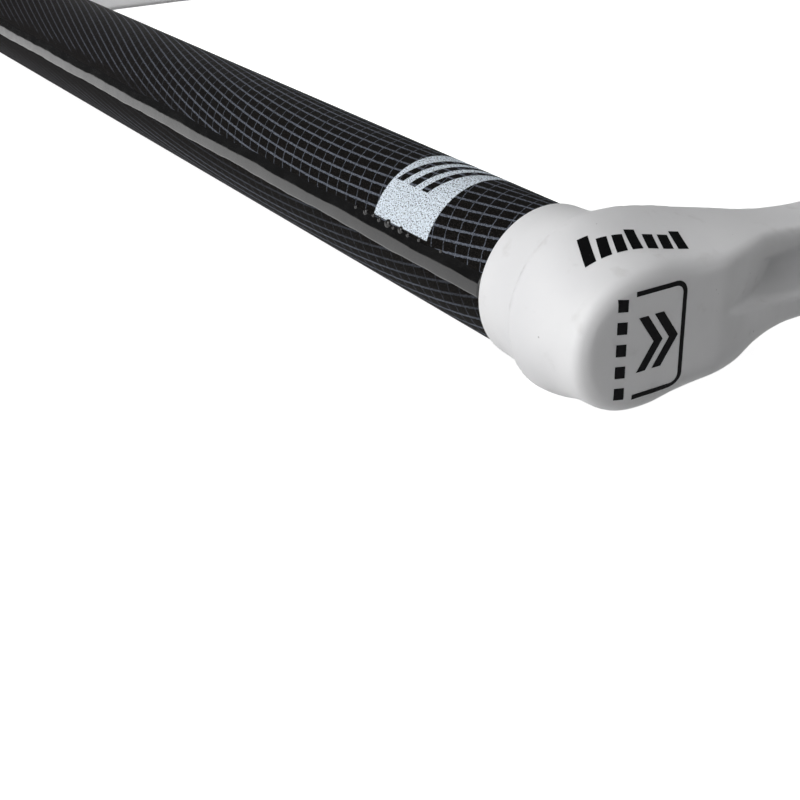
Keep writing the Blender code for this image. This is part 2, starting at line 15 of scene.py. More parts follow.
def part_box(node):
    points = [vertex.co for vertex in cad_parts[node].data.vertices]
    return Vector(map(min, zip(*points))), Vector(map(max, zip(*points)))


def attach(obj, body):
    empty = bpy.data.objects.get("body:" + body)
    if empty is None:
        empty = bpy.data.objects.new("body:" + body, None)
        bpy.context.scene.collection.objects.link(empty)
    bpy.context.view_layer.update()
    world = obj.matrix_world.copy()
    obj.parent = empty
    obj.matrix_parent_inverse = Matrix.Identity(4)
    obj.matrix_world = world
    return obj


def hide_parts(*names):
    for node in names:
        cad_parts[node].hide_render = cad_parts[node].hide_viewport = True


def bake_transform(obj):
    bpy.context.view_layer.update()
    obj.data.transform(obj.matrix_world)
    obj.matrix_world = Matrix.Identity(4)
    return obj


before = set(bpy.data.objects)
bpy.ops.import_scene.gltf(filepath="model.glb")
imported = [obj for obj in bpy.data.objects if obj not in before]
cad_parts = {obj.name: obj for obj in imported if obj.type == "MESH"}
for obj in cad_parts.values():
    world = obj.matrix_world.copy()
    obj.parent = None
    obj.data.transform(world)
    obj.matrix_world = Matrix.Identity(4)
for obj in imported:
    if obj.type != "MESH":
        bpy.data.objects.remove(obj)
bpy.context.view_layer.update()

MM = 0.001
SIDES = {"left": -1, "right": 1}

# Places taken from the CAD nodes, in metres
tube_low, tube_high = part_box("bar_tube")
AXIS_Y = (tube_low.y + tube_high.y) / 2
AXIS_Z = (tube_low.z + tube_high.z) / 2
RIM_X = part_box("right_collar")[0].x
eye_low, eye_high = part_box("tow_thimble")
EYE_Y = (eye_low.y + eye_high.y) / 2

# Grip, in millimetres and degrees; angles go round the bar from the side that faces the rider
GRIP_LENGTH = 2 * RIM_X / MM
GRIP_R = 14.25
GRIP_TUCK = 3.0           # how far the cover runs on under each collar's lip
COVER_THICK = 1.6
SEAM_LOW = -1.5           # lower edge of the seam's bead
SEAM_HIGH = 18.5
BEAD_HEIGHT = 0.55
SWELL_SHARE = 0.6         # the part of the bead's width below its ridge
# Domes of sealant beside the printed band: place along the bar, angle round it, and radius
BUBBLES = [
    (25.6, 17.6, 0.55), (28.3, 18.4, 0.8), (30.9, 17.4, 0.45), (33.0, 18.2, 0.95),
    (36.2, 17.8, 0.6), (38.6, 18.9, 0.5), (41.5, 18.3, 0.75), (45.4, 18.1, 0.5),
    (21.7, 18.4, 0.5), (14.2, 18.5, 0.45),
]
PRINT_START = 19.4        # the printed band, measured along the bar from the right rim
PRINT_END = 38.5
PRINT_LOW = 20.5          # its edges round the bar
PRINT_HIGH = 160.0
CELL_LONG = 4.0           # the woven grid's cells, along the bar and round it
CELL_ROUND = 2.3
FADE_START = 110.0        # along the bar: where the threads round it begin to fade, and where
FADE_END = 185.0          # they are faintest and the seam's smear is strongest

# Bridle arm, in millimetres
ARM_CENTRE = 18.35
ARM_END = 351.0           # length of the arm's middle line from the bar's axis
BEND_START = 70.0
BEND_RADIUS = 80.0
BEND_ANGLE = math.radians(35.0)
BEND_END = BEND_START + BEND_RADIUS * BEND_ANGLE

# Half height of the end moulding as it narrows from the head to the arm, (y, height),
# beside the collar and at OUTER_U
OUTER_U = 29.0
HEIGHT_INNER = [(0, 17.15), (4.5, 17.05), (12, 15.95), (19.5, 14.3), (28, 12.6), (34, 11.25),
                (41, 10.1), (50, 9.4), (60, 9.3)]
HEIGHT_OUTER = [(0, 13.4), (6, 12.7), (12, 12.2), (20, 11.9), (28, 11.2), (34, 10.4),
                (41, 9.7), (50, 9.3), (60, 9.3)]
# What the underside of the neck lacks of that height
UNDER_TRIM = [(16, 0.0), (24, 0.45), (30, 0.85), (36, 0.9), (42, 0.5), (50, 0.25), (60, 0.1)]
# Outer and inner faces of the end moulding, (y, u)
FACE_OUTER = [(-20, 31.5), (0, 31.5), (13, 31.5), (20, 30.4), (28, 27.4), (34, 25.9),
              (41, 25.2), (60, 25.2)]
FACE_INNER = [(0, 11.6), (16, 11.6), (30, 11.5), (60, 11.5)]
# Rider's side of the head, by u: how far it reaches, its half height and how square it is
HEAD_REACH = [(12.0, 17.15), (14.0, 17.15), (22.0, 17.1), (29.4, 17.1), (34.0, 16.9)]
HEAD_HEIGHT = [(12.0, 17.15), (14.0, 17.0), (22.0, 14.8), (29.0, 13.4), (34.0, 12.4)]
HEAD_SQUARENESS = [(13.0, 2.0), (22.0, 2.0), (31.0, 2.15)]

# Radius of the edge round the end face, by y, above and below the bar's axis
EDGE_ABOVE = [(-2, 2.5), (8, 2.9), (18, 2.0), (60, 2.0)]
EDGE_BELOW = [(-9, 2.5), (0, 3.7), (9, 4.3), (20, 4.3), (42, 3.0), (60, 3.0)]

# Gutter along the outside of each arm: height of its lower lip by y, and its depth by z
GUTTER_LIP = [(10, 1.5), (15.7, 0.5), (23.5, -0.9), (32.8, -3.0), (40.2, -3.7), (50, -3.8),
              (60, -3.8)]
GUTTER_DEPTH = [(-6, 0.9), (-2, 2.3), (2, 3.7), (4, 3.1), (6, 1.2), (7, 0.4), (8, 0.0), (13, 0.0)]
GUTTER_SHARE = [(28, 1.2), (46, 0.8), (60, 0.8)]   # multiplies that depth, by y
RAMP = (38.92, -0.513, 0.267)   # the gutter's sloping start: u = a + b y + c z

# Yoke and tow eye, in millimetres from the eye's centre
YOKE_OUTER = 21.8
YOKE_CROTCH = 17.0
YOKE_LEG_MIDDLE = 12.5
YOKE_HALF_WIDTH = 9.3
YOKE_HALF_HEIGHT = 11.8
YOKE_LEG = 52.0
EYE_BARREL = 9.5
EYE_HOLE = 6.5
EYE_FLANGE = 13.0
EYE_FACE = 13.6
EYE_BELL = 2.6            # radius of the rounding at the mouth of the hole

INK_LIFT = 0.04 * MM      # how far the printing stands off the moulding

# Camera: its place from the middle of the right rim, in metres, and its aim
CAMERA_PLACE = (0.19398, -0.15072, 0.09859)
CAMERA_AZIMUTH = math.radians(58.49)
CAMERA_ELEVATION = math.radians(26.63)
CAMERA_ROLL = math.radians(-1.15)

# Glow of the studio round the scene, at the horizon and overhead
SURROUND_LOW = 0.06
SURROUND_HIGH = 0.15
STAGE_R = 8.0             # half the floor's side, and the dome's radius, in metres


# Camera, floor and light

def aim_camera():
    """Looks down along the bar from beyond its right end, on the rider's side."""
    back = Vector((
        math.sin(CAMERA_AZIMUTH) * math.cos(CAMERA_ELEVATION),
        -math.cos(CAMERA_AZIMUTH) * math.cos(CAMERA_ELEVATION),
        math.sin(CAMERA_ELEVATION),
    ))
    right = (-back).cross(Vector((0, 0, 1))).normalized()
    up = right.cross(-back)
    rolled_right = math.cos(CAMERA_ROLL) * right + math.sin(CAMERA_ROLL) * up
    rolled_up = math.cos(CAMERA_ROLL) * up - math.sin(CAMERA_ROLL) * right
    turn = Matrix((rolled_right, rolled_up, back)).transposed()
    place = Vector((RIM_X, AXIS_Y, AXIS_Z)) + Vector(CAMERA_PLACE)
    camera_data = bpy.data.cameras.new("camera")
    camera_data.lens = 63.9
    camera_data.sensor_width = 36.0
    camera_data.clip_start = 0.01
    camera = bpy.data.objects.new("camera", camera_data)
    camera.matrix_world = Matrix.Translation(place) @ turn.to_4x4()
    bpy.context.collection.objects.link(camera)
    bpy.context.scene.camera = camera


def add_softbox(name, place, target, size, watts, spread=180.0):
    """A flat lamp that faces target, with its light kept within spread degrees."""
    data = bpy.data.lights.new(name, "AREA")
    data.spread = math.radians(spread)
    data.shape = "RECTANGLE"
    data.size, data.size_y = size
    data.energy = watts
    lamp = bpy.data.objects.new(name, data)
    lamp.location = place
    lamp.rotation_euler = (Vector(target) - Vector(place)).to_track_quat("-Z", "Y").to_euler()
    bpy.context.collection.objects.link(lamp)


def light_studio():
    """Two wide softboxes before the bar, weaker ones all round it, and a dim surround."""
    middle = (0.0, AXIS_Y, AXIS_Z)
    far_arm = (-0.17, AXIS_Y + 0.03, AXIS_Z)
    add_softbox("front_low_softbox", (0.2, AXIS_Y - 1.0, 0.05), middle, (1.1, 1.2), 8.0)
    add_softbox("front_high_softbox", (0.0, AXIS_Y - 0.9, 0.8), middle, (0.9, 0.6), 6.0)
    add_softbox("top_softbox", (0.6, AXIS_Y + 0.1, 1.1), middle, (0.7, 0.7), 2.3)
    add_softbox("far_arm_softbox", (0.12, AXIS_Y + 0.25, 0.4), far_arm, (0.2, 0.2), 0.12, 50.0)
    add_softbox("back_softbox", (0.1, AXIS_Y + 1.6, 0.3), middle, (1.2, 0.5), 2.8)
    add_softbox("left_softbox", (-1.3, AXIS_Y + 0.4, 0.25), middle, (0.6, 0.5), 3.5)
    add_softbox("under_softbox", (0.2, AXIS_Y, -0.6), middle, (1.2, 1.2), 0.7)
    light_surround()


def light_surround():
    """A faint cool glow from all round, stronger overhead than at the horizon."""
    world = bpy.data.worlds.new("studio")
    world.use_nodes = True
    tree = world.node_tree
    surround = tree.nodes["Background"]
    surround.inputs["Color"].default_value = (0.97, 0.98, 1.0, 1.0)
    way = add_node(tree, "SeparateXYZ", {0: add_node(tree, "TexCoord").outputs["Generated"]})
    glow = ramp_between(tree, way.outputs["Z"], 0.25, 0.8, SURROUND_LOW, SURROUND_HIGH)
    tree.links.new(glow, surround.inputs["Strength"])
    bpy.context.scene.world = world
    bpy.context.scene.view_settings.view_transform = "Standard"


def glowing_white(name, strength):
    """Plain matt white that glows by itself."""
    material, _, shader = new_material(name)
    shader.inputs["Base Color"].default_value = (0.5, 0.5, 0.5, 1.0)
    shader.inputs["Roughness"].default_value = 0.9
    shader.inputs["Specular IOR Level"].default_value = 0.0
    shader.inputs["Emission Color"].default_value = (1.0, 1.0, 1.0, 1.0)
    shader.inputs["Emission Strength"].default_value = strength
    return material


def stage_surface(name, points, faces, strength):
    """Part of the studio: it glows a little and casts no light or shadow on the object."""
    mesh = bpy.data.meshes.new(name)
    mesh.from_pydata(points, [], faces)
    mesh.materials.append(glowing_white(name + "_white", strength))
    surface = bpy.data.objects.new(name, mesh)
    surface.visible_diffuse = False
    surface.visible_shadow = False
    bpy.context.collection.objects.link(surface)
    return surface


def make_stage():
    """A plain white floor, and a plain white dome round it that only the camera sees."""
    corners = [(-1, -1), (1, -1), (1, 1), (-1, 1)]
    floor = [(STAGE_R * x, STAGE_R * y, 0.0) for x, y in corners]
    stage_surface("floor", floor, [(0, 1, 2, 3)], 0.9)
    points, faces = dome_mesh()
    dome = stage_surface("backdrop", points, faces, 1.0)
    dome.visible_glossy = False


def dome_mesh():
    """Points and faces of a dome that starts a little below the floor."""
    sides, rows = 32, 8
    sunk = 0.01
    points = []
    for i in range(rows + 1):
        lift = math.radians(88.0 * i / rows)
        for j in range(sides):
            turn = 2 * math.pi * j / sides
            flat = STAGE_R * math.cos(lift)
            height = STAGE_R * math.sin(lift) - sunk
            points.append((flat * math.cos(turn), flat * math.sin(turn), height))
    faces = []
    for i in range(rows):
        for j in range(sides):
            k = (j + 1) % sides
            faces.append((i * sides + j, (i + 1) * sides + j, (i + 1) * sides + k, i * sides + k))
    faces.append(tuple(rows * sides + j for j in range(sides))[::-1])
    return points, faces


# Materials

def new_material(name):
    """A material, its node tree and its shader."""
    material = bpy.data.materials.new(name)
    material.use_nodes = True
    tree = material.node_tree
    return material, tree, tree.nodes["Principled BSDF"]


def add_node(tree, kind, inputs=None, **settings):
    """A new node, with its inputs linked to sockets or set to values."""
    node = tree.nodes.new("ShaderNode" + kind)
    for key, value in settings.items():
        setattr(node, key, value)
    for key, value in (inputs or {}).items():
        if isinstance(value, bpy.types.NodeSocket):
            tree.links.new(value, node.inputs[key])
        else:
            node.inputs[key].default_value = value
    return node


def maths(tree, operation, first, second=0.0, third=0.0):
    """The socket of a Math node."""
    node = add_node(tree, "Math", {0: first, 1: second, 2: third}, operation=operation)
    return node.outputs[0]


def ramp_between(tree, value, start, end, low=0.0, high=1.0):
    """value mapped smoothly from start..end to low..high."""
    node = add_node(
        tree, "MapRange",
        {"Value": value, "From Min": start, "From Max": end, "To Min": low, "To Max": high},
        interpolation_type="SMOOTHSTEP",
    )
    return node.outputs["Result"]


def mix_colours(tree, factor, first, second):
    """first where factor is 0, second where it is 1."""
    node = add_node(tree, "Mix", {0: factor, 6: first, 7: second}, data_type="RGBA")
    return node.outputs[2]


def noise_at(tree, coordinates, scale, detail=2.0):
    """Soft noise between 0 and 1, with scale lumps to each unit of the coordinates."""
    node = add_node(tree, "TexNoise", {"Vector": coordinates, "Scale": scale, "Detail": detail})
    return node.outputs["Fac"]


def object_coordinates(tree):
    """The place on the object at rest, in metres."""
    return add_node(tree, "TexCoord").outputs["Object"]


def add_bump(tree, shader, height, distance, strength=1.0):
    """Relief of the given distance, in metres, where height goes from 0 to 1."""
    bump = add_node(tree, "Bump", {"Height": height, "Distance": distance, "Strength": strength})
    tree.links.new(bump.outputs["Normal"], shader.inputs["Normal"])


def white_elastomer():
    """Soft white moulding: satin, a little mottled, with faint handling marks and specks."""
    material, tree, shader = new_material("white_elastomer")
    place = object_coordinates(tree)
    cloud = noise_at(tree, place, 55.0, 3.0)
    smudge = noise_at(tree, place, 190.0, 5.0)
    speck = noise_at(tree, place, 900.0, 1.0)
    grain = noise_at(tree, place, 5200.0, 2.0)
    base = mix_colours(
        tree, ramp_between(tree, cloud, 0.35, 0.7),
        (0.83, 0.83, 0.835, 1.0), (0.79, 0.79, 0.80, 1.0),
    )
    soiled = mix_colours(
        tree, ramp_between(tree, smudge, 0.60, 0.74, 0.0, 0.22), base, (0.50, 0.48, 0.46, 1.0),
    )
    marked = mix_colours(
        tree, ramp_between(tree, speck, 0.80, 0.84, 0.0, 0.5), soiled, (0.22, 0.20, 0.20, 1.0),
    )
    tree.links.new(marked, shader.inputs["Base Color"])
    tree.links.new(ramp_between(tree, smudge, 0.3, 0.7, 0.46, 0.60), shader.inputs["Roughness"])
    shader.inputs["Specular IOR Level"].default_value = 0.4
    add_bump(tree, shader, grain, 0.00003, 0.5)
    return material


def near_whole(tree, value, half_width, softness):
    """1 where value is within half_width of a whole number, falling to 0 over softness."""
    shifted = maths(tree, "FRACT", maths(tree, "ADD", value, 0.5))
    gap = maths(tree, "ABSOLUTE", maths(tree, "SUBTRACT", shifted, 0.5))
    return ramp_between(tree, gap, half_width, half_width + softness, 1.0, 0.0)


def inside_range(tree, value, low, high, softness):
    """1 between low and high, with edges that soften outwards."""
    rising = ramp_between(tree, value, low - softness, low)
    falling = ramp_between(tree, value, high, high + softness, 1.0, 0.0)
    return maths(tree, "MULTIPLY", rising, falling)


def parted_attribute(tree, name):
    """A mesh attribute as one vector, and a node that holds its parts."""
    vector = add_node(tree, "Attribute", attribute_name=name).outputs["Vector"]
    return vector, add_node(tree, "SeparateXYZ", {0: vector})


def grip_fabric():
    """Near-black brushed cloth with a raised blue-grey grid and a worn white printed band."""
    material, tree, shader = new_material("grip_fabric")
    flat, spot = parted_attribute(tree, "sheet")
    thread = grid_threads(tree, flat, spot)
    woven = cloth_colour(tree, flat, spot, thread_showing(tree, flat, spot, thread))
    ink = band_ink(tree, flat, spot)
    colour = mix_colours(tree, ink, woven, (0.80, 0.88, 0.96, 1.0))
    tree.links.new(colour, shader.inputs["Base Color"])
    tree.links.new(ramp_between(tree, ink, 0.0, 1.0, 0.80, 0.55), shader.inputs["Roughness"])
    shader.inputs["Specular IOR Level"].default_value = 0.04
    shader.inputs["Sheen Weight"].default_value = 0.012
    shader.inputs["Sheen Roughness"].default_value = 0.45
    shader.inputs["Sheen Tint"].default_value = (0.75, 0.72, 0.70, 1.0)
    fibre = maths(tree, "MULTIPLY", noise_at(tree, flat, 9.0, 3.0), 0.35)
    height = maths(tree, "ADD", maths(tree, "MULTIPLY", thread, 0.6), fibre)
    add_bump(tree, shader, height, 0.00012)
    return material


def grid_threads(tree, flat, spot):
    """1 on the grid's threads, which wander a little; those round the bar fade along it."""
    cells = parted_attribute(tree, "weave")[1]
    wobble = maths(tree, "MULTIPLY_ADD", noise_at(tree, flat, 1.3, 3.0), 0.16, -0.08)
    round_at = maths(tree, "ADD", cells.outputs["X"], wobble)
    long_at = maths(tree, "ADD", cells.outputs["Y"], wobble)
    round_thread = near_whole(tree, round_at, 0.020, 0.022)
    long_thread = near_whole(tree, long_at, 0.080, 0.05)
    left = ramp_between(tree, spot.outputs["X"], FADE_START, FADE_END, 0.8, 0.2)
    return maths(tree, "MAXIMUM", long_thread, maths(tree, "MULTIPLY", round_thread, left))


def thread_showing(tree, flat, spot, thread):
    """The threads less what the smear by the seam and breaks take away, and dimmed below the seam
    as painted shade.
    """
    smear_edge = maths(tree, "MULTIPLY_ADD", noise_at(tree, flat, 0.22, 3.0), 6.0, 3.6)
    from_edge = maths(tree, "SUBTRACT", spot.outputs["Y"], smear_edge)
    in_smear = ramp_between(tree, from_edge, -1.2, 1.2, 1.0, 0.0)
    smear = ramp_between(tree, spot.outputs["X"], FADE_START, FADE_END)
    clear = maths(tree, "SUBTRACT", 1.0, maths(tree, "MULTIPLY", smear, in_smear))

    # Painted shade: the threads just below the seam are dimmed, and more so towards the left end.
    under_low, under_high = 330.0 * arc_per_degree(), 352.0 * arc_per_degree()
    under_bar = ramp_between(tree, spot.outputs["Y"], under_low, under_high)
    under_shade_strength = ramp_between(tree, spot.outputs["X"], 40.0, 200.0, 0.68, 0.92)
    underside = maths(tree, "SUBTRACT", 1.0, maths(tree, "MULTIPLY", under_bar, under_shade_strength))
    broken = ramp_between(tree, noise_at(tree, flat, 2.6, 2.0), 0.36, 0.58, 0.35, 1.0)
    for share in (broken, clear, underside):
        thread = maths(tree, "MULTIPLY", thread, share)
    return thread


def cloth_colour(tree, flat, spot, thread):
    """Patchy black nap with lighter threads, both of them greyer towards the left end."""
    nap = ramp_between(tree, noise_at(tree, flat, 3.4, 3.0), 0.44, 0.72)
    fibres = mix_colours(tree, nap, (0.0016, 0.0014, 0.0013, 1.0), (0.022, 0.0195, 0.018, 1.0))
    greyed = ramp_between(tree, spot.outputs["X"], 60.0, 260.0, 0.0, 0.45)
    cloth = mix_colours(tree, greyed, fibres, (0.0135, 0.0125, 0.0135, 1.0))
    dimmed = ramp_between(tree, spot.outputs["X"], 60.0, 280.0)
    tint = mix_colours(tree, dimmed, (0.140, 0.156, 0.190, 1.0), (0.052, 0.055, 0.066, 1.0))
    return mix_colours(tree, thread, cloth, tint)


def band_ink(tree, flat, spot):
    """1 where the printed band's ink is whole, less where it is flecked or worn."""
    edge_low, edge_high = PRINT_LOW * arc_per_degree(), PRINT_HIGH * arc_per_degree()
    along = inside_range(tree, spot.outputs["X"], PRINT_START, PRINT_END, 0.15)
    around = inside_range(tree, spot.outputs["Y"], edge_low, edge_high, 0.15)
    band = maths(tree, "MULTIPLY", along, around)
    bare = emblem_mask(tree, spot)
    printed = maths(tree, "MULTIPLY", band, maths(tree, "SUBTRACT", 1.0, bare))
    flecks = ramp_between(tree, noise_at(tree, flat, 3.0, 1.0), 0.55, 0.64, 1.0, 0.12)
    worn = ramp_between(tree, noise_at(tree, flat, 2.2, 4.0), 0.36, 0.6, 0.74, 1.0)
    return maths(tree, "MULTIPLY", maths(tree, "MULTIPLY", printed, flecks), worn)


def arc_per_degree():
    """Millimetres round the grip's surface for each degree."""
    return math.radians(GRIP_R)


def emblem_mask(tree, spot):
    """Three slanted stripes left bare in the middle of the printed band: a plain, generic mark."""
    middle_x = (PRINT_START + PRINT_END) / 2
    middle_y = (PRINT_LOW + PRINT_HIGH) / 2 * arc_per_degree()
    across = maths(tree, "SUBTRACT", spot.outputs["X"], middle_x)
    around = maths(tree, "SUBTRACT", spot.outputs["Y"], middle_y)
    slanted = maths(tree, "MULTIPLY_ADD", around, 0.35, across)
    stripes = near_whole(tree, maths(tree, "DIVIDE", slanted, 4.4), 0.24, 0.03)
    across_reach = inside_range(tree, slanted, -6.2, 6.2, 0.1)
    around_reach = inside_range(tree, around, -9.0, 9.0, 0.1)
    reach = maths(tree, "MULTIPLY", across_reach, around_reach)
    return maths(tree, "MULTIPLY", stripes, reach)


def seam_cement():
    """Glossy black sealant, a little rippled."""
    material, tree, shader = new_material("seam_cement")
    place = object_coordinates(tree)
    ripple = noise_at(tree, place, 260.0, 3.0)
    dust = noise_at(tree, place, 2600.0, 3.0)
    colour = mix_colours(
        tree, ramp_between(tree, dust, 0.62, 0.75, 0.0, 0.6), (0.004, 0.004, 0.0042, 1.0),
        (0.035, 0.034, 0.034, 1.0),
    )
    tree.links.new(colour, shader.inputs["Base Color"])
    tree.links.new(ramp_between(tree, ripple, 0.3, 0.7, 0.14, 0.24), shader.inputs["Roughness"])
    shader.inputs["Specular IOR Level"].default_value = 0.62
    add_bump(tree, shader, ripple, 0.0001, 0.4)
    return material


def printing_ink():
    """Matt black ink with a trace of wear."""
    material, tree, shader = new_material("printing_ink")
    wear = noise_at(tree, object_coordinates(tree), 1500.0, 4.0)
    colour = mix_colours(
        tree, ramp_between(tree, wear, 0.70, 0.80, 0.0, 0.3), (0.004, 0.004, 0.0045, 1.0),
        (0.10, 0.10, 0.105, 1.0),
    )
    tree.links.new(colour, shader.inputs["Base Color"])
    tree.links.new(ramp_between(tree, wear, 0.3, 0.7, 0.55, 0.7), shader.inputs["Roughness"])
    shader.inputs["Specular IOR Level"].default_value = 0.05
    return material


def brushed_metal(name, colour, roughness, stretch):
    """Metal with fine marks, drawn out along X by stretch."""
    material, tree, shader = new_material(name)
    place = add_node(
        tree, "Mapping", {"Vector": object_coordinates(tree), "Scale": (1.0 / stretch, 1.0, 1.0)},
    )
    marks = noise_at(tree, place.outputs["Vector"], 3200.0, 3.0)
    dark = tuple(0.78 * part for part in colour)
    tint = mix_colours(tree, ramp_between(tree, marks, 0.3, 0.7), (*colour, 1.0), (*dark, 1.0))
    tree.links.new(tint, shader.inputs["Base Color"])
    shader.inputs["Metallic"].default_value = 1.0
    spread = ramp_between(tree, marks, 0.3, 0.7, roughness - 0.06, roughness + 0.08)
    tree.links.new(spread, shader.inputs["Roughness"])
    add_bump(tree, shader, marks, 0.00001, 0.4)
    return material


def mottled_plastic(name, colour, roughness, scale, depth):
    """Plastic, rubber or foam: colour and roughness drift, with a grain of the given scale."""
    material, tree, shader = new_material(name)
    place = object_coordinates(tree)
    grain = noise_at(tree, place, scale, 4.0)
    drift = noise_at(tree, place, 90.0, 3.0)
    lighter = tuple(min(1.0, 1.25 * part + 0.004) for part in colour)
    tint = mix_colours(tree, ramp_between(tree, drift, 0.3, 0.7), (*colour, 1.0), (*lighter, 1.0))
    tree.links.new(tint, shader.inputs["Base Color"])
    spread = ramp_between(tree, grain, 0.3, 0.7, roughness - 0.05, roughness + 0.07)
    tree.links.new(spread, shader.inputs["Roughness"])
    add_bump(tree, shader, grain, depth)
    return material


def braided_rope():
    """White high-strength braid: two sets of strands that wind past each other."""
    material, tree, shader = new_material("bridle_rope")
    place = object_coordinates(tree)
    axes = add_node(tree, "SeparateXYZ", {0: place})
    run = maths(tree, "ADD", axes.outputs["Y"], axes.outputs["X"])
    strands = []
    for slant in (1.0, -1.0):
        lean = maths(tree, "MULTIPLY_ADD", axes.outputs["Z"], 1.6 * slant, run)
        strands.append(near_whole(tree, maths(tree, "MULTIPLY", lean, 640.0), 0.10, 0.25))
    valleys = maths(tree, "MAXIMUM", strands[0], strands[1])
    # The grey in the valleys between strands is painted shade in the braid's grooves; the same
    # valleys set the bump.
    colour = mix_colours(tree, valleys, (0.78, 0.77, 0.74, 1.0), (0.42, 0.41, 0.39, 1.0))
    tree.links.new(colour, shader.inputs["Base Color"])
    shader.inputs["Roughness"].default_value = 0.7
    add_bump(tree, shader, maths(tree, "SUBTRACT", 1.0, valleys), 0.0002)
    return material


# Solid shapes from signed distances

def curve_through(points, where):
    """Smooth curve through (place, value) points, flat beyond the first and the last."""
    places = np.array([p[0] for p in points], float)
    values = np.array([p[1] for p in points], float)
    steps = np.diff(places)
    rises = np.diff(values) / steps
    slopes = np.zeros(len(places))
    for i in range(1, len(places) - 1):
        if rises[i - 1] * rises[i] > 0:
            before, after = steps[i - 1], steps[i]
            slopes[i] = (before + after) / (
                (before + 2 * after) / (3 * rises[i - 1]) + (2 * before + after) / (3 * rises[i])
            )
    t = np.clip(where, places[0], places[-1])
    i = np.clip(np.searchsorted(places, t, side="right") - 1, 0, len(steps) - 1)
    step = steps[i]
    s = (t - places[i]) / step
    return (
        values[i] * (1 + 2 * s) * (1 - s) ** 2 + slopes[i] * step * s * (1 - s) ** 2
        + values[i + 1] * s ** 2 * (3 - 2 * s) + slopes[i + 1] * step * s ** 2 * (s - 1)
    )


def smooth_step(value, start, end):
    """0 before start, 1 after end, and smooth between."""
    t = np.clip((value - start) / (end - start), 0.0, 1.0)
    return t * t * (3 - 2 * t)


def round_intersection(a, b, radius):
    """Distance to what is inside both a and b, with the edge between them rounded."""
    outside = np.hypot(np.maximum(a + radius, 0.0), np.maximum(b + radius, 0.0))
    return np.minimum(-radius, np.maximum(a, b)) + outside


def round_union(a, b, radius):
    """Distance to what is inside a or b, with the corner between them filled."""
    return -round_intersection(-a, -b, radius)


def head_distance(u, y, z):
    """Rider's side of the head: a squarish drum that tapers outwards."""
    reach = curve_through(HEAD_REACH, u)
    height = curve_through(HEAD_HEIGHT, u)
    power = curve_through(HEAD_SQUARENESS, u)
    size = (np.abs(y / reach) ** power + np.abs(z / height) ** power) ** (1 / power)
    return (size - 1) * np.minimum(reach, height)


def flank_distance(u, y, z):
    """Above and below the head's back and the arm, where the half height falls with y."""
    full_height = HEAD_HEIGHT[0][1]
    fall = full_height - curve_through(HEAD_HEIGHT, u)
    outwards = fall / (full_height - curve_through(HEAD_HEIGHT, OUTER_U))
    inner = curve_through(HEIGHT_INNER, y)
    outer = curve_through(HEIGHT_OUTER, y)
    trim = np.where(z < 0, curve_through(UNDER_TRIM, y), 0.0)
    return np.abs(z) - (inner + (outer - inner) * outwards - trim)


def gutter_distance(u, y, z, face):
    """The groove along the arm: a sloping start, then a hollow with a sharp lower lip."""
    base, along, upwards = RAMP
    ramp = base + along * y + upwards * z
    web = face - curve_through(GUTTER_DEPTH, z) * curve_through(GUTTER_SHARE, y)
    bottom = np.maximum(ramp, web)
    wall = (bottom - u) * 0.9
    lip = curve_through(GUTTER_LIP, y) - z
    return round_intersection(wall, lip, 1.0)


def moulding_distance(u, y, z):
    """The end moulding with its arm, as if the arm were straight."""
    side = np.where(y < 0, head_distance(u, y, z), flank_distance(u, y, z))
    face = curve_through(FACE_OUTER, y)
    outer = u - face
    inner = curve_through(FACE_INNER, y) - u
    outer_radius = np.where(z > 0, curve_through(EDGE_ABOVE, y), curve_through(EDGE_BELOW, y))
    inner_radius = 0.8 + 1.4 * smooth_step(y, 14, 32)
    gutter_radius = 0.4 + 1.2 * smooth_step(z, 0.5, 7.0)
    end_radius = 1.0
    solid = round_intersection(side, outer, outer_radius)
    solid = round_intersection(solid, inner, inner_radius)
    solid = round_intersection(solid, -gutter_distance(u, y, z, face), gutter_radius)
    return round_intersection(solid, y - ARM_END, end_radius)


def surface_net(distance, us, ys, zs):
    """Points and quads on the zero surface of distance, which is sampled at us, ys and zs."""
    grid = np.stack(np.meshgrid(us, ys, zs, indexing="ij"), -1)
    values = distance(grid[..., 0], grid[..., 1], grid[..., 2])
    cells = tuple(n - 1 for n in values.shape)
    total = np.zeros(cells + (3,))
    count = np.zeros(cells)
    crossings = []
    for axis in range(3):
        crossed, places, starts_inside = axis_crossings(grid, values, axis)
        b, c = [a for a in range(3) if a != axis]
        for shift_b in (0, 1):
            for shift_c in (0, 1):
                window = [slice(None)] * 3
                window[b] = slice(shift_b, shift_b + cells[b])
                window[c] = slice(shift_c, shift_c + cells[c])
                total += places[tuple(window)]
                count += crossed[tuple(window)]
        crossings.append((axis, b, c, crossed, starts_inside))
    used = count > 0
    index = np.full(cells, -1)
    index[used] = np.arange(used.sum())
    points = total[used] / count[used][:, None]
    faces = [crossing_quads(index, *crossing) for crossing in crossings]
    return draw_onto(distance, points), np.concatenate(faces)


def axis_crossings(grid, values, axis):
    """Which edges along an axis the surface crosses, where, and which edges start inside it."""
    low = tuple(slice(0, -1) if a == axis else slice(None) for a in range(3))
    high = tuple(slice(1, None) if a == axis else slice(None) for a in range(3))
    starts_inside = values[low] < 0
    crossed = starts_inside != (values[high] < 0)
    share = np.where(crossed, values[low] / (values[low] - values[high] + 1e-12), 0.0)
    places = grid[low] + (grid[high] - grid[low]) * share[..., None]
    return crossed, places * crossed[..., None], starts_inside


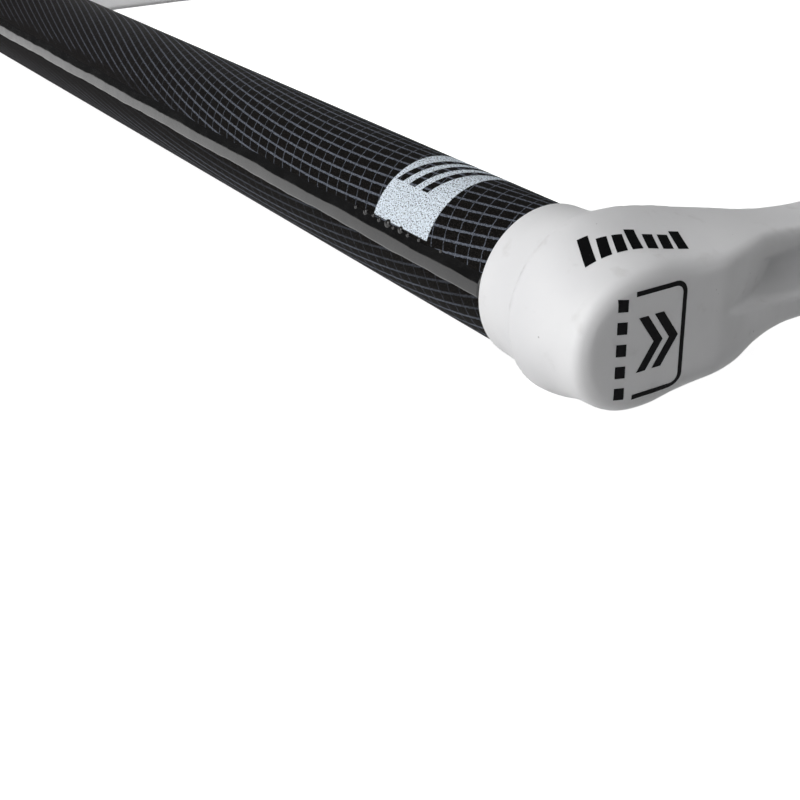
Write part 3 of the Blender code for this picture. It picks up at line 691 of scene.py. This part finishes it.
def crossing_quads(index, axis, b, c, crossed, starts_inside):
    """A quad for each crossed edge, through the points of the four cells round it, facing out."""
    where = np.argwhere(crossed)
    fits_b = (where[:, b] > 0) & (where[:, b] < index.shape[b])
    fits_c = (where[:, c] > 0) & (where[:, c] < index.shape[c])
    where = where[fits_b & fits_c]
    corners = []
    for back_b, back_c in ((1, 1), (0, 1), (0, 0), (1, 0)):
        cell = where.copy()
        cell[:, b] -= back_b
        cell[:, c] -= back_c
        corners.append(index[tuple(cell.T)])
    quads = np.stack(corners, -1)
    outwards = starts_inside[tuple(where.T)] != (axis == 1)
    quads[~outwards] = quads[~outwards][:, ::-1]
    return quads


def draw_onto(distance, points):
    """Moves points along the slope of distance until they lie on its zero surface."""
    reach = 0.05
    for _ in range(3):
        here = distance(*points.T)
        slope = np.zeros_like(points)
        for axis in range(3):
            ahead = points.copy()
            ahead[:, axis] += reach
            slope[:, axis] = (distance(*ahead.T) - here) / reach
        size = np.maximum((slope ** 2).sum(1), 0.05)
        move = slope * (here / size)[:, None]
        points = points - np.clip(move, -0.4, 0.4)
    return points


# Meshes

def new_piece(name, points, faces, material):
    """A smooth-shaded object from points in metres and a list of faces."""
    mesh = bpy.data.meshes.new(name)
    mesh.from_pydata([tuple(p) for p in points], [], [tuple(f) for f in faces])
    mesh.validate()
    mesh.shade_smooth()
    mesh.materials.append(material)
    piece = bpy.data.objects.new(name, mesh)
    bpy.context.collection.objects.link(piece)
    return piece


def to_world(points, side):
    """Side-frame millimetres to metres."""
    points = np.asarray(points, float)
    return np.stack([
        side * (RIM_X + points[:, 0] * MM),
        AXIS_Y + points[:, 1] * MM,
        AXIS_Z + points[:, 2] * MM,
    ], -1)


def bend_arm(points):
    """Bends a straight arm's points round towards the tow eye."""
    run = points[:, 1]
    off = points[:, 0] - ARM_CENTRE
    angle = np.clip((run - BEND_START) / BEND_RADIUS, 0.0, BEND_ANGLE)
    beyond = np.maximum(run - BEND_END, 0.0)
    turned = run > BEND_START
    radius = BEND_RADIUS + off
    u = ARM_CENTRE - BEND_RADIUS + radius * np.cos(angle) - beyond * np.sin(angle)
    y = BEND_START + radius * np.sin(angle) + beyond * np.cos(angle)
    bent = points.copy()
    bent[:, 0] = np.where(turned, u, points[:, 0])
    bent[:, 1] = np.where(turned, y, run)
    return bent


def make_mouldings(material):
    """The two white end mouldings, each with its arm of the bridle."""
    us = np.linspace(9.5, 33.5, 35)
    ys = np.concatenate([np.linspace(-19.0, 58.0, 111), np.linspace(60.0, 353.0, 115)])
    zs = np.linspace(-18.9, 18.9, 55)
    straight, faces = surface_net(moulding_distance, us, ys, zs)
    bent = bend_arm(straight)
    pieces = {}
    for label, side in SIDES.items():
        order = faces if side > 0 else faces[:, ::-1]
        points = to_world(bent, side)
        piece = new_piece(label + "_moulding", points, order, material)
        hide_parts(label + "_end_cap", label + "_arm")
        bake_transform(piece)
        pieces[label] = piece
    return pieces


def ring_faces(rings, count):
    """Quads between each of the rings, of count points, and the next one."""
    faces = []
    for i in range(rings - 1):
        for j in range(count):
            k = (j + 1) % count
            faces.append((i * count + j, i * count + k, (i + 1) * count + k, (i + 1) * count + j))
    return faces


def revolve(profile, sides):
    """Rings and faces of a closed (height, radius) profile turned about the height axis."""
    angles = np.arange(sides) * 2 * math.pi / sides
    rings = [(h, r * math.cos(a), r * math.sin(a)) for h, r in profile for a in angles]
    last = (len(profile) - 1) * sides
    faces = ring_faces(len(profile), sides)
    for j in range(sides):
        k = (j + 1) % sides
        faces.append((last + j, last + k, k, j))
    return np.array(rings), faces


def make_collars(material):
    """The ring that closes over each end of the grip, from profiles of (u, radius)."""
    outside = [(0.05, 14.72), (0.1, 14.86), (0.25, 14.96), (0.6, 15.0), (2.0, 15.05), (4.0, 15.15),
               (6.0, 15.35), (8.0, 15.65), (9.5, 15.87), (11.0, 16.1), (12.0, 16.22), (12.8, 16.25)]
    inside = [(12.8, 11.4), (6.0, 11.4), (4.2, 14.5), (0.3, 14.5), (0.05, 14.6)]
    rings, faces = revolve(outside + inside, 160)
    for label, side in SIDES.items():
        order = [face[::-1] for face in faces] if side > 0 else faces
        points = to_world(rings, side)
        piece = new_piece(label + "_collar_ring", points, order, material)
        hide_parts(label + "_collar")
        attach(piece, "bar")


def ripple(x, phase):
    """A slow irregular wave between about -1 and 1."""
    return (0.5 * math.sin(x / 7.3 + phase) + 0.3 * math.sin(x / 3.1 + 2.1 * phase)
            + 0.2 * math.sin(x / 1.37 + 3.7 * phase))


def thread_count(x, arc):
    """The cloth's coordinates at x along the bar and arc round it, counted in cells of its grid.

    The cloth was stretched on slightly twisted, so its long threads lean one way near the right
    collar and the other way further along, and crowd together there.
    """
    straight_from = 180.0
    near = min(x, straight_from)
    drift = -0.19 * near + 0.00145 * near ** 2 + 0.33 * max(x - straight_from, 0.0)
    crowding = 0.0012 * x * (arc - 12.0)
    return (x - 0.35 * arc) / CELL_LONG, (arc - drift + crowding) / CELL_ROUND, 0.0


def on_bar(x, radius, angle):
    """A point in the right side's frame: x along the bar from the rim, angle in degrees."""
    turn = math.radians(angle)
    return (-x, -radius * math.cos(turn), radius * math.sin(turn))


def make_grip_cover(material):
    """The cloth round the grip, open along the seam, with rounded edges there."""
    stations = np.linspace(-GRIP_TUCK, GRIP_LENGTH + GRIP_TUCK, 326)
    under_bead = 1.2
    low = SEAM_HIGH - under_bead
    high = 360.0 + SEAM_LOW + under_bead
    around = np.linspace(low, high, 141)
    inner_r = GRIP_R - COVER_THICK
    ring = [(inner_r, low), (GRIP_R - 0.35, low - 0.2), (GRIP_R - 0.08, low + 0.3)]
    ring += [(GRIP_R, angle) for angle in around[1:-1]]
    ring += [(GRIP_R - 0.08, high - 0.3), (GRIP_R - 0.35, high + 0.2), (inner_r, high)]
    ring += [(inner_r, angle) for angle in around[-2:0:-4]]
    points, sheet, weave = [], [], []
    for x in stations:
        for radius, angle in ring:
            points.append(on_bar(x, radius, angle))
            arc = angle * arc_per_degree()
            sheet.append((x, arc, 0.0))
            weave.append(thread_count(x, arc))
    faces = ring_faces(len(stations), len(ring))
    cover = new_piece("grip_cloth", to_world(points, 1), faces, material)
    store_vectors(cover, "sheet", sheet)
    store_vectors(cover, "weave", weave)
    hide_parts("grip_cover")
    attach(cover, "bar")


def store_vectors(piece, name, vectors):
    """Keeps one vector for each point as a mesh attribute."""
    layer = piece.data.attributes.new(name, "FLOAT_VECTOR", "POINT")
    layer.data.foreach_set("vector", np.array(vectors, np.float32).ravel())


def bead_rise(t):
    """Height across the bead: a flat swell below, and a long fall towards its upper edge."""
    swell = 1 - (1 - min(t / 0.12, 1.0)) ** 2
    fall = max((t - SWELL_SHARE) / (1 - SWELL_SHARE), 0.0)
    return swell * (1 - 0.75 * math.sin(fall * math.pi / 2) - 0.25 * fall ** 6)


def make_seam_bead(material):
    """Sealant along the seam: a low glossy bead with wandering edges."""
    steps = 319
    across = 20
    points = []
    for i in range(steps + 1):
        x = GRIP_LENGTH * i / steps
        low = SEAM_LOW + 0.9 * ripple(x, 0.3)
        high = SEAM_HIGH + 1.1 * ripple(x, 1.9) + 0.7 * ripple(2.3 * x, 4.4)
        crown = BEAD_HEIGHT * (1 + 0.12 * ripple(0.6 * x, 2.6))
        for j in range(across + 1):
            t = j / across
            radius = GRIP_R - 0.05 + crown * bead_rise(t)
            points.append(on_bar(x, radius, low + (high - low) * t))
        for angle in (high - 1.0, low + 1.0):
            points.append(on_bar(x, GRIP_R - 1.0, angle))
    count = across + 3
    faces = ring_faces(steps + 1, count)
    faces.append(tuple(range(count))[::-1])
    faces.append(tuple(range(steps * count, (steps + 1) * count)))
    bead = new_piece("seam_sealant", to_world(points, 1), faces, material)
    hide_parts("seam_bead")
    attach(bead, "bar")


def make_bubbles(material):
    """Small domes of sealant that squeezed out beside the printed band."""
    sides, rows = 16, 6
    squash = 0.7
    points, faces = [], []
    for x, angle, radius in BUBBLES:
        outwards = np.array(on_bar(0.0, 1.0, angle))
        along = np.array([1.0, 0.0, 0.0])
        around = np.cross(outwards, along)
        middle = outwards * (GRIP_R - 0.1 * radius) - along * x
        first = len(points)
        for i in range(rows):
            lift = math.radians(90.0 * i / rows)
            for j in range(sides):
                swing = 2 * math.pi * j / sides
                flat = math.cos(swing) * along + math.sin(swing) * around
                offset = math.cos(lift) * flat + squash * math.sin(lift) * outwards
                points.append(middle + radius * offset)
        points.append(middle + radius * squash * outwards)
        top = len(points) - 1
        last = top - sides
        faces += [tuple(first + corner for corner in face) for face in ring_faces(rows, sides)]
        faces += [(last + j, last + (j + 1) % sides, top) for j in range(sides)]
        faces.append(tuple(first + j for j in range(sides))[::-1])
    bubbles = new_piece("sealant_bubbles", to_world(points, 1), faces, material)
    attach(bubbles, "bar")


def yoke_distance(x, y, z):
    """The moulding round the tow eye, with a leg over the end of each arm."""
    x = np.abs(x)
    from_eye = np.hypot(x, y)
    across = x * math.cos(BEND_ANGLE) + y * math.sin(BEND_ANGLE)
    back = x * math.sin(BEND_ANGLE) - y * math.cos(BEND_ANGLE)
    beside_leg = np.abs(across - YOKE_LEG_MIDDLE) - YOKE_HALF_WIDTH
    leg = round_intersection(beside_leg, back - YOKE_LEG, 2.0)
    leg = np.maximum(leg, -back)
    cap = np.maximum(from_eye - YOKE_OUTER, back)
    crotch = round_union(leg, from_eye - YOKE_CROTCH, 3.0)
    plan = np.minimum(cap, crotch)
    solid = round_intersection(plan, np.abs(z) - YOKE_HALF_HEIGHT, 2.4)
    return round_intersection(solid, EYE_BARREL - 0.1 - from_eye, 0.5)


def make_yoke(material):
    """The white moulding where the two arms meet."""
    xs = np.linspace(-55.0, 55.0, 111)
    ys = np.linspace(-50.0, 24.0, 75)
    zs = np.linspace(-13.5, 13.5, 31)
    points, faces = surface_net(yoke_distance, xs, ys, zs)
    placed = points * MM + np.array([0.0, EYE_Y, AXIS_Z])
    yoke = new_piece("yoke_moulding", placed, faces, material)
    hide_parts("yoke")
    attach(yoke, "bridle")


def make_eye_lining(material):
    """Polished flanged lining of the tow eye, with a bell mouth at each end."""
    half = [(12.1, EYE_BARREL), (12.1, EYE_FLANGE - 0.3), (12.4, EYE_FLANGE), (13.1, EYE_FLANGE),
            (13.5, EYE_FLANGE - 0.35), (EYE_FACE, EYE_FLANGE - 0.9)]
    steps = 8
    for i in range(steps + 1):
        turn = math.radians(90.0 * i / steps)
        height = EYE_FACE - EYE_BELL * (1 - math.cos(turn))
        half.append((height, EYE_HOLE + EYE_BELL * (1 - math.sin(turn))))
    profile = half + [(-h, r) for h, r in reversed(half)]
    rings, faces = revolve(profile, 96)
    upright = np.stack([rings[:, 1], rings[:, 2], rings[:, 0]], -1)
    placed = upright * MM + np.array([0.0, EYE_Y, AXIS_Z])
    lining = new_piece("eye_lining", placed, faces, material)
    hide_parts("tow_thimble")
    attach(lining, "bridle")


# Printing on the mouldings

def patch(corners, along, across):
    """Grid of points over a four-cornered shape."""
    a, b, c, d = [np.array(p, float) for p in corners]
    rows = []
    for i in range(along + 1):
        t = i / along
        start = a + (b - a) * t
        end = d + (c - d) * t
        rows.append([start + (end - start) * j / across for j in range(across + 1)])
    return np.array(rows)


def stroke(path, width):
    """Grid of points along a path, as wide as a pen."""
    path = np.array(path, float)
    ahead = np.gradient(path, axis=0)
    ahead /= np.linalg.norm(ahead, axis=1)[:, None]
    sideways = np.stack([-ahead[:, 1], ahead[:, 0]], -1) * width / 2
    return np.stack([path - sideways, path, path + sideways], 1)


def print_shapes(name, grids, surface, origin, axes, side, material):
    """Lays flat shapes onto a moulding, just proud of it.

    The shapes lie in the plane of the first two axes at origin, in the side's own frame, and are
    cast onto the surface along the third axis.
    """
    tree = BVHTree.FromObject(surface, bpy.context.evaluated_depsgraph_get())
    across, upwards, towards = [Vector(a) for a in axes]
    flip = Vector((side, 1, 1))
    points, faces = [], []
    for grid in grids:
        first = len(points)
        rows, columns = grid.shape[:2]
        for a, b in grid.reshape(-1, 2):
            start = Vector(origin) + across * a + upwards * b
            world = Vector(to_world([start], side)[0])
            hit, normal, _, _ = tree.ray_cast(world, towards * flip)
            points.append(hit + normal * INK_LIFT)
        for i in range(rows - 1):
            for j in range(columns - 1):
                corner = first + i * columns + j
                faces.append((corner, corner + 1, corner + columns + 1, corner + columns))
    mark = new_piece(name, points, faces, material)
    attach(mark, "bar")


def end_face_shapes():
    """A three-sided frame round two chevrons, and a column of dashes."""
    def arc(middle, radius, start, end):
        """Points round part of a circle, from one angle to another."""
        turns = np.radians(np.linspace(start, end, 9))
        return [(middle[0] + radius * math.cos(t), middle[1] + radius * math.sin(t)) for t in turns]

    line = [(y, 9.4) for y in np.linspace(-5.4, 3.1, 9)]
    line += arc((3.3, 7.4), 2.0, 90, 0)
    line += [(5.3, z) for z in np.linspace(6.8, -6.8, 13)]
    line += arc((3.3, -7.4), 2.0, 0, -90)
    line += [(y, -9.4) for y in np.linspace(3.1, -5.2, 9)]
    shapes = [stroke(line, 0.9)]
    for tail in (-4.6, -1.2):
        point = tail + 3.5
        upper = [(tail, 5.0), (tail + 2.0, 5.0), (point + 2.0, 0.0), (point, 0.0)]
        lower = [(point, 0.0), (point + 2.0, 0.0), (tail + 2.0, -5.0), (tail, -5.0)]
        shapes += [patch(upper, 3, 6), patch(lower, 3, 6)]
    for z in (8.0, 4.0, 0.0, -4.0, -8.0):
        dash = [(-9.2, z - 0.9), (-7.0, z - 1.3), (-7.0, z + 0.9), (-9.2, z + 1.3)]
        shapes.append(patch(dash, 4, 4))
    return shapes


def top_shapes():
    """A row of slanted bars that step up and down, as a plain stand-in for a printed name."""
    tops = (5.8, 4.6, 4.6, 5.8, 4.6, 4.6, 5.8)
    shapes = []
    for i, top in enumerate(tops):
        start = -9.6 + 2.9 * i
        slant = start + 1.2
        bar = [(start, 0.0), (start + 2.0, 0.0), (slant + 2.0, top), (slant, top)]
        shapes.append(patch(bar, 4, 8))
    return shapes


def print_marks(mouldings, material):
    """The same generic marks on both ends."""
    face_origin = (40.0, 0.0, 0.0)
    face_axes = ((0, 1, 0), (0, 0, 1), (-1, 0, 0))
    top_origin = (25.0, 0.0, 30.0)
    top_axes = (Vector((0.22, 1.0, 0.0)).normalized(), (-1, 0.22, 0), (0, 0, -1))
    for label, side in SIDES.items():
        surface = mouldings[label]
        print_shapes(label + "_face_print", end_face_shapes(), surface, face_origin, face_axes,
                     side, material)
        print_shapes(label + "_top_print", top_shapes(), surface, top_origin, top_axes,
                     side, material)


# Finish of the CAD parts inside

def finish_cad_parts(rope):
    """Every CAD part that stays gets its own procedural finish; returns the steel."""
    aluminium = brushed_metal("tube_aluminium", (0.62, 0.63, 0.65), 0.34, 30.0)
    steel = brushed_metal("stainless_steel", (0.60, 0.60, 0.60), 0.24, 4.0)
    foam = mottled_plastic("flotation_foam", (0.30, 0.30, 0.31), 0.85, 1400.0, 0.0003)
    rubber = mottled_plastic("soft_rubber", (0.012, 0.012, 0.012), 0.7, 900.0, 0.0002)
    nylon = mottled_plastic("black_nylon", (0.010, 0.010, 0.011), 0.42, 2400.0, 0.00006)
    finishes = {
        "bar_tube": aluminium, "foam_core": foam, "grip_underlay": rubber,
        "bridle_rope_upper": rope, "bridle_rope_lower": rope,
    }
    for label in SIDES:
        finishes[label + "_tube_plug"] = nylon
        finishes[label + "_plug_seal"] = rubber
        finishes[label + "_lock_pin"] = steel
        finishes[label + "_lock_spool"] = nylon
        finishes[label + "_spool_screw"] = steel
        finishes[label + "_rope_bight"] = rope
    for name, material in finishes.items():
        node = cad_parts[name]
        node.data.materials.clear()
        node.data.materials.append(material)
    return steel


aim_camera()
light_studio()
make_stage()
white = white_elastomer()
steel = finish_cad_parts(braided_rope())
mouldings = make_mouldings(white)
make_collars(white)
make_yoke(white)
make_eye_lining(steel)
make_grip_cover(grip_fabric())
cement = seam_cement()
make_seam_bead(cement)
make_bubbles(cement)
print_marks(mouldings, printing_ink())
